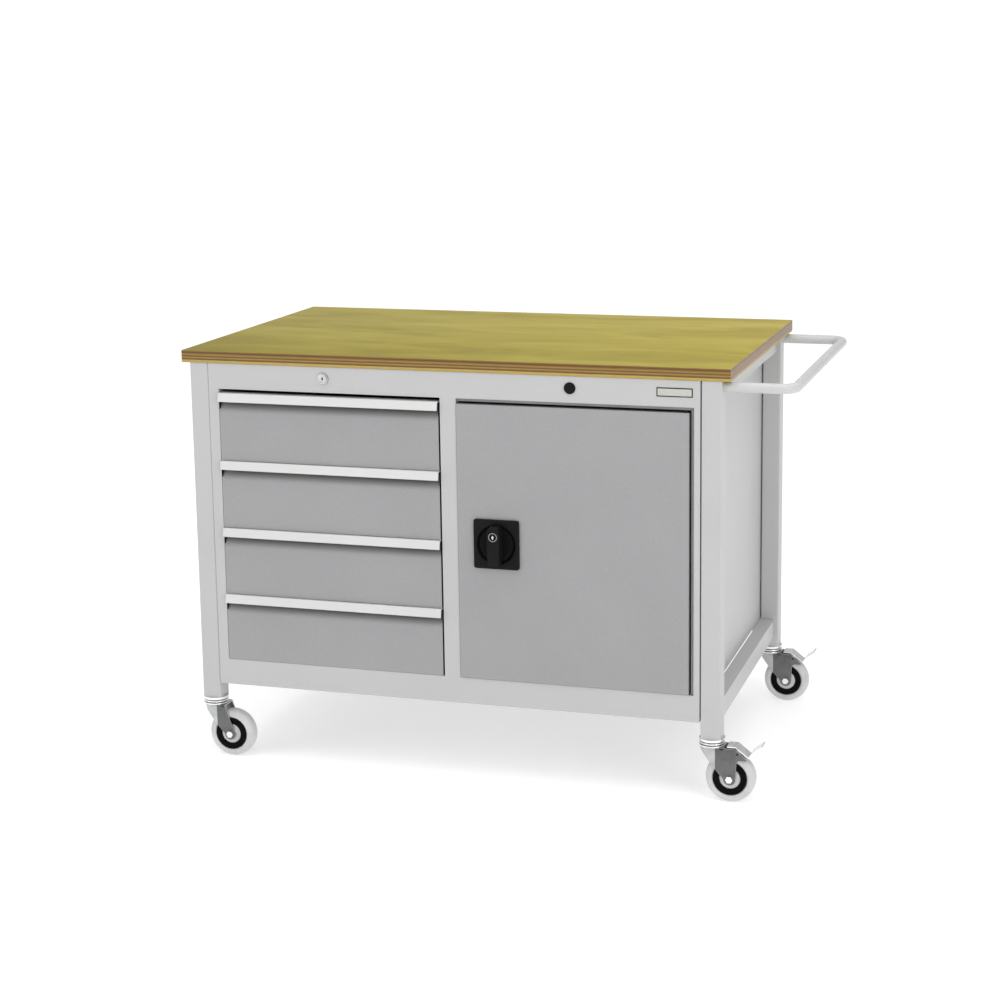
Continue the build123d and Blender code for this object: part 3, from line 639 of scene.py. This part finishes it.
def make_drawer_lock():
    """Stepped lock collar on the fascia, around the turning core."""
    low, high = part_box("drawer_lock_bezel")
    core_low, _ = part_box("drawer_lock_core")
    centre = Vector(JOINTS["drawer_lock_turn"]["pos_m"])
    centre.y = low.y
    radius = (high.x - low.x) / 2
    bore = 6.6 * MM
    depth = high.y - low.y
    collar = 3.0 * MM
    profile = rounded_profile(
        (
            (bore, depth),
            (bore, 0.5 * MM),
            (bore + 1.4 * MM, 0.0),
            (radius - 3.2 * MM, 0.0),
            (radius - 2.6 * MM, 0.9 * MM),
            (radius - 0.8 * MM, 1.0 * MM),
            (radius, 1.8 * MM),
            (radius, collar),
            (radius - 2.5 * MM, collar),
            (radius - 2.5 * MM, depth),
        ),
        0.35 * MM,
        3,
    )
    bm = bmesh.new()
    add_lathe(bm, profile + [profile[0]], centre, (0, 1, 0), 64)
    bmesh.ops.remove_doubles(bm, verts=bm.verts, dist=MERGE)
    # The collar's outer wall takes the dark oxide as painted shade, for the dark crescent on its side; a
    # ring on the sloped step takes it too
    for polygon in bm.faces:
        middle = polygon.calc_center_median()
        reach = math.hypot(middle.x - centre.x, middle.z - centre.z)
        if reach > radius - 0.5 * MM or radius - 3.1 * MM < reach < radius - 2.5 * MM:
            polygon.material_index = 1
    finish_mesh(
        "drawer_lock_collar", bm, "root", (lock_metal, oxide_pin_and_painted_shade), ("drawer_lock_bezel",)
    )
    half_height, half_width, rise = 3.2 * MM, 2.2 * MM, 0.12 * MM
    bm = bmesh.new()
    outline = ((0, -half_height), (half_width, 0), (0, half_height), (-half_width, 0))
    add_prism(
        bm, outline, lambda u, v, w: (centre.x + u, core_low.y + w, centre.z + v), -rise, 0.3 * MM
    )
    finish_mesh("drawer_lock_keyway", bm, "drawer_lock", (key_slot_dark,))


def superellipse(half_width, half_height, power, steps):
    """Closed outline between an ellipse (power 2) and a rectangle."""
    points = []
    for step in range(steps):
        angle = 2 * math.pi * step / steps
        c, s = math.cos(angle), math.sin(angle)
        u = half_width * math.copysign(abs(c) ** (2 / power), c)
        v = half_height * math.copysign(abs(s) ** (2 / power), s)
        points.append((u, v))
    return points


def make_door_lock():
    """Black lock plate with a dished well, and the turn knob with its upright bar."""
    low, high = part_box("door_lock_plate")
    knob_low, knob_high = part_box("door_knob")
    hub = Vector(JOINTS["door_knob_turn"]["pos_m"])
    half_x, half_z = (high.x - low.x) / 2, (high.z - low.z) / 2
    middle = (low + high) / 2
    face, back = low.y, high.y
    steps = FINE_STEPS
    rim = 40.5 * MM
    well = 37.5 * MM
    floor = face + 4.0 * MM
    bore = 8.3 * MM
    bm = bmesh.new()

    def ring(points, y):
        return [bm.verts.new((middle.x + u, y, middle.z + v)) for u, v in points]

    corner = 24.0
    crown = 1.2 * MM
    outer_back = ring(superellipse(half_x, half_z, corner, steps), back)
    outer_side = ring(superellipse(half_x, half_z, corner, steps), face + crown)
    outer_face = ring(superellipse(half_x - crown, half_z - crown, corner, steps), face + 0.25 * MM)
    inner_face = ring(superellipse(half_x - 3 * crown, half_z - 3 * crown, corner, steps), face)
    rings = [outer_back, outer_side, outer_face, inner_face]
    dish = (
        (rim, face),
        (rim - 0.7 * MM, face + 0.3 * MM),
        (well, floor - 0.8 * MM),
        (well - 1.0 * MM, floor),
    )
    for radius, y in dish:
        rings.append(ring(superellipse(radius, radius, 2, steps), y))
    rings.append(ring(superellipse(bore, bore, 2, steps), floor))
    rings.append(ring(superellipse(bore, bore, 2, steps), back))
    for first, second in zip(rings, rings[1:]):
        loop_faces(bm, first, second)
    loop_faces(bm, rings[-1], rings[0])
    bm.faces.ensure_lookup_table()
    for polygon in bm.faces:
        centre = polygon.calc_center_median()
        if math.hypot(centre.x - middle.x, centre.z - middle.z) < rim and centre.y > face + 0.1 * MM:
            polygon.material_index = 1
    finish_mesh(
        "door_lock_shield",
        bm,
        "door",
        (black_plastic, dish_plastic),
        ("door_lock_plate",),
        30,
    )

    bm = bmesh.new()
    disc_back = floor - 0.3 * MM
    disc_face = floor - 4.2 * MM
    disc_radius = 36.0 * MM
    profile = rounded_profile(
        (
            (0, 0),
            (disc_radius - 7 * MM, 0),
            (disc_radius - 2 * MM, 1.2 * MM),
            (disc_radius, 3.0 * MM),
            (disc_radius, disc_back - disc_face),
            (0, disc_back - disc_face),
        ),
        0.8 * MM,
        4,
    )
    add_lathe(bm, profile, (hub.x, disc_face, hub.z), (0, 1, 0), steps)
    shaft = ((0, 0), (8.0 * MM, 0), (8.0 * MM, knob_high.y - disc_back), (0, knob_high.y - disc_back))
    add_lathe(bm, shaft, (hub.x, disc_back, hub.z), (0, 1, 0), 40)
    bar_top = knob_low.y
    levels = (
        (14.0 * MM, 39.5 * MM, disc_face, 5.0),
        (13.6 * MM, 40.5 * MM, disc_face - 5.0 * MM, 5.0),
        (13.2 * MM, 39.5 * MM, bar_top + 9.0 * MM, 5.0),
        (12.9 * MM, 38.5 * MM, bar_top + 3.0 * MM, 6.0),
        (12.2 * MM, 37.4 * MM, bar_top + 0.8 * MM, 6.0),
        (11.2 * MM, 36.2 * MM, bar_top, 6.0),
    )
    rings = []
    for half_width, half_height, y, power in levels:
        outline = superellipse(half_width, half_height, power, steps)
        rings.append([bm.verts.new((hub.x + u, y, hub.z + v)) for u, v in outline])
    key = Vector(JOINTS["door_key_turn"]["pos_m"])
    key_hole = 9.6 * MM
    for first, second in zip(rings, rings[1:]):
        loop_faces(bm, first, second)
    rim_ring = []
    for u, v in superellipse(key_hole, key_hole, 2, steps):
        rim_ring.append(bm.verts.new((key.x + u, bar_top, key.z + v)))
    loop_faces(bm, rings[-1], rim_ring)
    deep_ring = [bm.verts.new((vert.co.x, bar_top + 12 * MM, vert.co.z)) for vert in rim_ring]
    loop_faces(bm, rim_ring, deep_ring)
    bm.faces.new(deep_ring)
    bm.faces.new(list(reversed(rings[0])))
    bm.faces.ensure_lookup_table()
    for polygon in bm.faces:
        if polygon.calc_center_median().y > disc_face - 0.2 * MM:
            polygon.material_index = 1
    finish_mesh(
        "door_turn_knob", bm, "door_knob", (black_plastic, dish_plastic), ("door_knob",), 40
    )

    bm = bmesh.new()
    profile = rounded_profile(
        (
            (7.0 * MM, 3.0 * MM),
            (7.0 * MM, 0.4 * MM),
            (7.4 * MM, 0.0),
            (9.0 * MM, 0.0),
            (9.4 * MM, 0.6 * MM),
            (9.4 * MM, 3.0 * MM),
        ),
        0.3 * MM,
        3,
    )
    add_lathe(bm, profile + [profile[0]], (key.x, bar_top - 0.2 * MM, key.z), (0, 1, 0), 64)
    bmesh.ops.remove_doubles(bm, verts=bm.verts, dist=MERGE)
    finish_mesh("door_key_ring", bm, "door_key", (key_ring_metal,))
    half_height, half_width, rise = 5.0 * MM, 2.5 * MM, 0.3 * MM
    outline = ((0, -half_height), (half_width, 0), (0, half_height * 0.8), (-half_width, 0))
    bm = bmesh.new()
    add_prism(bm, outline, lambda u, v, w: (key.x + u, bar_top + w, key.z + v), -rise, rise)
    round_edges(bm, 0.15 * MM, 2)
    finish_mesh("door_keyway", bm, "door_key", (lock_metal,))


# ---------------------------------------------------------------- casters
def make_wheel(name):
    """Nylon wheel with a stepped hub, and the black thread guards on both sides."""
    axle = Vector(JOINTS[f"caster_{name}_spin"]["pos_m"])
    low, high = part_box(f"caster_{name}_wheel")
    radius, half = (high.z - low.z) / 2, (high.y - low.y) / 2
    side = (
        (4.2 * MM, 0.0),
        (12.0 * MM, 0.0),
        (13.0 * MM, 1.4 * MM),
        (19.5 * MM, 1.6 * MM),
        (20.5 * MM, 2.6 * MM),
        (34.5 * MM, 2.6 * MM),
        (35.8 * MM, 0.6 * MM),
        (39.0 * MM, 0.0),
        (43.5 * MM, 1.0 * MM),
        (47.4 * MM, 3.8 * MM),
        (49.4 * MM, 8.0 * MM),
        (radius, 13.0 * MM),
    )
    near = [(r, -half + inset) for r, inset in side]
    far = [(r, half - inset) for r, inset in reversed(side)]
    profile = rounded_profile(near + far, 0.9 * MM, 3)
    bm = bmesh.new()
    add_lathe(bm, profile + [profile[0]], axle, (0, 1, 0), FINE_STEPS)
    bmesh.ops.remove_doubles(bm, verts=bm.verts, dist=MERGE)
    body = f"caster_{name}_wheel"
    finish_mesh(f"caster_{name}_tyre", bm, body, (wheel_nylon,), (f"caster_{name}_wheel",), 40)
    bm = bmesh.new()
    guard = (
        (21.2 * MM, 3.0 * MM),
        (21.2 * MM, 0.8 * MM),
        (22.4 * MM, 0.2 * MM),
        (32.6 * MM, -0.3 * MM),
        (34.0 * MM, 0.4 * MM),
        (34.0 * MM, 3.0 * MM),
    )
    for direction in (-1, 1):
        start = axle + Vector((0, direction * half, 0))
        shape = rounded_profile(guard, 0.5 * MM, 3)
        add_lathe(bm, shape + [shape[0]], start, (0, -direction, 0), FINE_STEPS)
    bmesh.ops.remove_doubles(bm, verts=bm.verts, dist=MERGE)
    finish_mesh(
        f"caster_{name}_guards", bm, body, (cover_plastic,), (f"caster_{name}_covers",), 40
    )


def fork_edges(x, trail, braked):
    """Lowest and highest point of the fork's side at a distance behind the swivel axis, in mm."""
    front_eye, back_eye = trail - FORK_EYE, trail + FORK_EYE
    if x < front_eye:
        share = FORK_AXLE_HEIGHT - FORK_KNEE
        bottom = FORK_KNEE + share * (x - FORK_NOSE) / (front_eye - FORK_NOSE)
    elif x < back_eye:
        bottom = FORK_AXLE_HEIGHT - math.sqrt(max(0.0, FORK_EYE**2 - (x - trail) ** 2))
    else:
        reach = min(1.0, (x - back_eye) / TAIL_REACH)
        bottom = TAIL_LOW + TAIL_RISE * math.sqrt(max(0.0, 1 - (1 - reach) ** 2))
    slope = trail + BRAKED_SLOPE_START
    if braked:
        top = FORK_CROWN if x < slope else FORK_CROWN - BRAKED_SLOPE_DROP * (x - slope) / BRAKED_SLOPE_LENGTH
    elif x < REAR_TOP_START:
        top = FORK_CROWN
    elif x < REAR_TOP_END:
        drop = FORK_CROWN - REAR_TOP_LOW
        top = FORK_CROWN - drop * (x - REAR_TOP_START) / (REAR_TOP_END - REAR_TOP_START)
    else:
        top = REAR_TOP_LOW - REAR_FOOT_DROP * (x - REAR_TOP_END) / (back_eye - REAR_TOP_END)
    return bottom, top


def make_fork(name):
    """Pressed fork: straight sides that wrap round to a nose in front, under the swivel head."""
    swivel = Vector(JOINTS[f"caster_{name}_swivel"]["pos_m"])
    axle = Vector(JOINTS[f"caster_{name}_spin"]["pos_m"])
    braked = name.endswith("right")
    trail = (axle.x - swivel.x) / MM
    half, bend, inner_half = FORK_HALF_WIDTH, FORK_BEND, FORK_HALF_WIDTH - FORK_WALL
    tail = trail + (BRAKED_TAIL if braked else PLAIN_TAIL)
    straight = [bend + (tail - bend) * step / SIDE_STEPS for step in range(SIDE_STEPS + 1)]
    plan = [(x, half, inner_half) for x in reversed(straight)]
    for step in range(1, NOSE_STEPS):
        angle = math.pi * step / NOSE_STEPS
        outer_x = bend - (bend - FORK_NOSE) * math.sin(angle)
        plan.append((outer_x, half * math.cos(angle), inner_half * math.cos(angle)))
    plan += [(x, -half, -inner_half) for x in straight]
    bm = bmesh.new()
    columns = []
    for x, outer, inner in plan:
        bottom, top = fork_edges(x, trail, braked)
        inner_x = x
        if x < bend:
            inner_x = bend + (x - bend) * (bend - FORK_NOSE - FORK_WALL) / (bend - FORK_NOSE)
        corners = ((x, outer, bottom), (x, outer, top), (inner_x, inner, top), (inner_x, inner, bottom))
        column = []
        for px, py, pz in corners:
            column.append(bm.verts.new((swivel.x + px * MM, swivel.y + py * MM, pz * MM)))
        columns.append(column)
    for first, second in zip(columns, columns[1:]):
        loop_faces(bm, first, second)
    bm.faces.new(columns[0])
    bm.faces.new(list(reversed(columns[-1])))
    bm.normal_update()
    # The flat outer faces of the side plates take the dark zinc: a painted dark reflection
    for polygon in bm.faces:
        aside = abs(polygon.calc_center_median().y - swivel.y)
        if abs(polygon.normal.y) > 0.985 and aside > (half - 0.5) * MM:
            polygon.material_index = 1
    crown = [(x, outer) for x, outer, _ in plan if x <= REAR_TOP_START]
    add_prism(
        bm,
        crown,
        lambda u, v, w: (swivel.x + u * MM, swivel.y + v * MM, w * MM),
        FORK_CROWN - CROWN_PLATE,
        FORK_CROWN,
    )
    round_edges(bm, 0.5 * MM, 2, 50)
    finish_mesh(
        f"caster_{name}_side_plates",
        bm,
        f"caster_{name}",
        (zinc_plate, zinc_dark_reflection),
        (f"caster_{name}_fork",),
        30,
    )
    head = rounded_profile(
        (
            (6.2, 112.0),
            (24.5, 112.0),
            (26.0, 112.8),
            (26.0, 115.4),
            (23.6, 116.0),
            (23.6, 117.2),
            (25.6, 117.8),
            (25.6, 120.4),
            (24.6, 121.0),
            (6.2, 121.0),
        ),
        0.7,
        3,
    )
    bm = bmesh.new()
    profile = [(r * MM, z * MM) for r, z in head]
    add_lathe(bm, profile + [profile[0]], (swivel.x, swivel.y, 0.0), (0, 0, 1), 72)
    bmesh.ops.remove_doubles(bm, verts=bm.verts, dist=MERGE)
    for polygon in bm.faces:
        middle = polygon.calc_center_median()
        reach = math.hypot(middle.x - swivel.x, middle.y - swivel.y)
        if reach < 24.6 * MM and 115.6 * MM < middle.z < 117.6 * MM:
            polygon.material_index = 1
    finish_mesh(
        f"caster_{name}_swivel_head", bm, f"caster_{name}", (chrome_plate, chrome_dark), (), 30
    )


# ---------------------------------------------------------------- worktop
def make_worktop():
    low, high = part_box("worktop")
    thickness = high.z - low.z
    front_tint = ((0.11, 0.045, 0.008), (0.21, 0.11, 0.022), (0.33, 0.215, 0.05), (0.47, 0.34, 0.085))
    end_tint = ((0.27, 0.19, 0.13), (0.34, 0.25, 0.19), (0.39, 0.30, 0.23), (0.48, 0.37, 0.20))
    face = plywood_face("plywood_face", low, high)
    long_edge = plywood_edge("plywood_long_edge", low.z, thickness, front_tint, (0.08, 1.0, 1.0))
    end_edge = plywood_edge("plywood_end_edge", low.z, thickness, end_tint, (1.0, 0.08, 1.0))
    bm = bmesh.new()
    add_box(bm, low, high)
    round_edges(bm, 1.2 * MM, 4)
    for polygon in bm.faces:
        normal = polygon.normal
        if abs(normal.z) > 0.75:
            polygon.material_index = 0
        else:
            polygon.material_index = 1 if abs(normal.y) > abs(normal.x) else 2
    finish_mesh("worktop_board", bm, "root", (face, long_edge, end_edge), ("worktop",))


# ---------------------------------------------------------------- stage
def make_stage():
    """Plain pale floor that runs out of the picture, and glows a little more away from the object."""
    material, tree, shader = new_material("floor_white")
    vector = object_coords(tree)
    tone = ramp(tree, noise(tree, vector, 2.0), ((0.3, (0.73, 0.73, 0.73)), (0.7, (0.75, 0.75, 0.75))))
    tree.links.new(tone, shader.inputs["Base Color"])
    shader.inputs["Roughness"].default_value = 0.9
    shader.inputs["Specular IOR Level"].default_value = 0.05
    away = tree.nodes.new("ShaderNodeVectorMath")
    away.operation = "LENGTH"
    tree.links.new(vector, away.inputs[0])
    spread = remap(tree, away.outputs["Value"], 0.0, 1.0, 0.8, 3.4)
    glow = ramp(tree, spread, ((0.0, (0.435,) * 3), (1.0, (0.56,) * 3)))
    tree.links.new(glow, shader.inputs["Emission Color"])
    shader.inputs["Emission Strength"].default_value = 1.0
    half = 60.0
    bm = bmesh.new()
    bmesh.ops.create_grid(bm, x_segments=4, y_segments=4, size=half)
    mesh = bpy.data.meshes.new("floor")
    bm.to_mesh(mesh)
    bm.free()
    mesh.materials.append(material)
    floor = bpy.data.objects.new("floor", mesh)
    bpy.context.scene.collection.objects.link(floor)


def add_softbox(name, location, target, size, power):
    light = bpy.data.lights.new(name, "AREA")
    light.shape = "RECTANGLE"
    light.size, light.size_y = size
    light.energy = power
    lamp = bpy.data.objects.new(name, light)
    lamp.location = location
    lamp.rotation_mode = "QUATERNION"
    lamp.rotation_quaternion = (Vector(target) - Vector(location)).to_track_quat("-Z", "Y")
    bpy.context.scene.collection.objects.link(lamp)


def make_lights():
    """A white tent, brighter above than below, with three softboxes and a white backdrop."""
    world = bpy.data.worlds.new("studio")
    bpy.context.scene.world = world
    world.use_nodes = True
    tree = world.node_tree
    background = tree.nodes["Background"]
    output = tree.nodes["World Output"]
    coords = tree.nodes.new("ShaderNodeTexCoord")
    split = tree.nodes.new("ShaderNodeSeparateXYZ")
    tree.links.new(coords.outputs["Generated"], split.inputs["Vector"])
    height = remap(tree, split.outputs["Z"], 0.0, 1.0, -1.0, 1.0)
    tone = ramp(tree, height, ((0.45, (0.55,) * 3), (0.8, (1.0,) * 3)))
    tree.links.new(tone, background.inputs["Color"])
    background.inputs["Strength"].default_value = 0.69
    shown = tree.nodes.new("ShaderNodeBackground")
    shown.inputs["Color"].default_value = (1, 1, 1, 1)
    shown.inputs["Strength"].default_value = 1.1
    path = tree.nodes.new("ShaderNodeLightPath")
    mix = tree.nodes.new("ShaderNodeMixShader")
    tree.links.new(path.outputs["Is Camera Ray"], mix.inputs["Fac"])
    tree.links.new(background.outputs["Background"], mix.inputs[1])
    tree.links.new(shown.outputs["Background"], mix.inputs[2])
    tree.links.new(mix.outputs["Shader"], output.inputs["Surface"])
    add_softbox("top_softbox", (0.0, -0.6, 3.4), (0.0, 0.0, 0.5), (4.0, 3.0), 58.0)
    add_softbox("left_softbox", (-3.2, -2.4, 2.0), (0.0, 0.0, 0.5), (2.0, 2.4), 22.0)
    add_softbox("right_softbox", (3.0, -2.3, 1.7), (0.2, 0.2, 0.45), (1.6, 2.2), 29.0)


def make_camera():
    """Front view from a little right of the middle and above the worktop."""
    yaw, pitch, roll = (math.radians(angle) for angle in (16.486, 10.452, -0.644))
    right = Vector((math.cos(yaw), math.sin(yaw), 0))
    ahead = Vector((-math.sin(yaw), math.cos(yaw), 0))
    up = Vector((0, 0, 1))
    look = math.cos(pitch) * ahead - math.sin(pitch) * up
    above = math.sin(pitch) * ahead + math.cos(pitch) * up
    across = math.cos(roll) * right + math.sin(roll) * above
    rise = -math.sin(roll) * right + math.cos(roll) * above
    data = bpy.data.cameras.new("camera")
    data.lens = 74.32
    data.sensor_width = 36.0
    data.shift_x = -0.0402
    data.shift_y = -0.0841
    camera = bpy.data.objects.new("camera", data)
    place = Matrix((across, rise, -look)).transposed().to_4x4()
    place.translation = Vector((1.25229, -4.12989, 1.48964))
    camera.matrix_world = place
    bpy.context.scene.collection.objects.link(camera)
    bpy.context.scene.camera = camera
    bpy.context.scene.view_settings.view_transform = "Standard"


make_worktop()
dress_frame()
dress_drawers()
dress_door()
dress_casters()
make_drawer_faces()
make_drawer_gap_shade()
build_door_seal_and_shade()
make_nameplate()
make_drawer_lock()
make_door_lock()
for caster in CASTERS:
    make_wheel(caster)
    make_fork(caster)
make_stage()
make_lights()
make_camera()
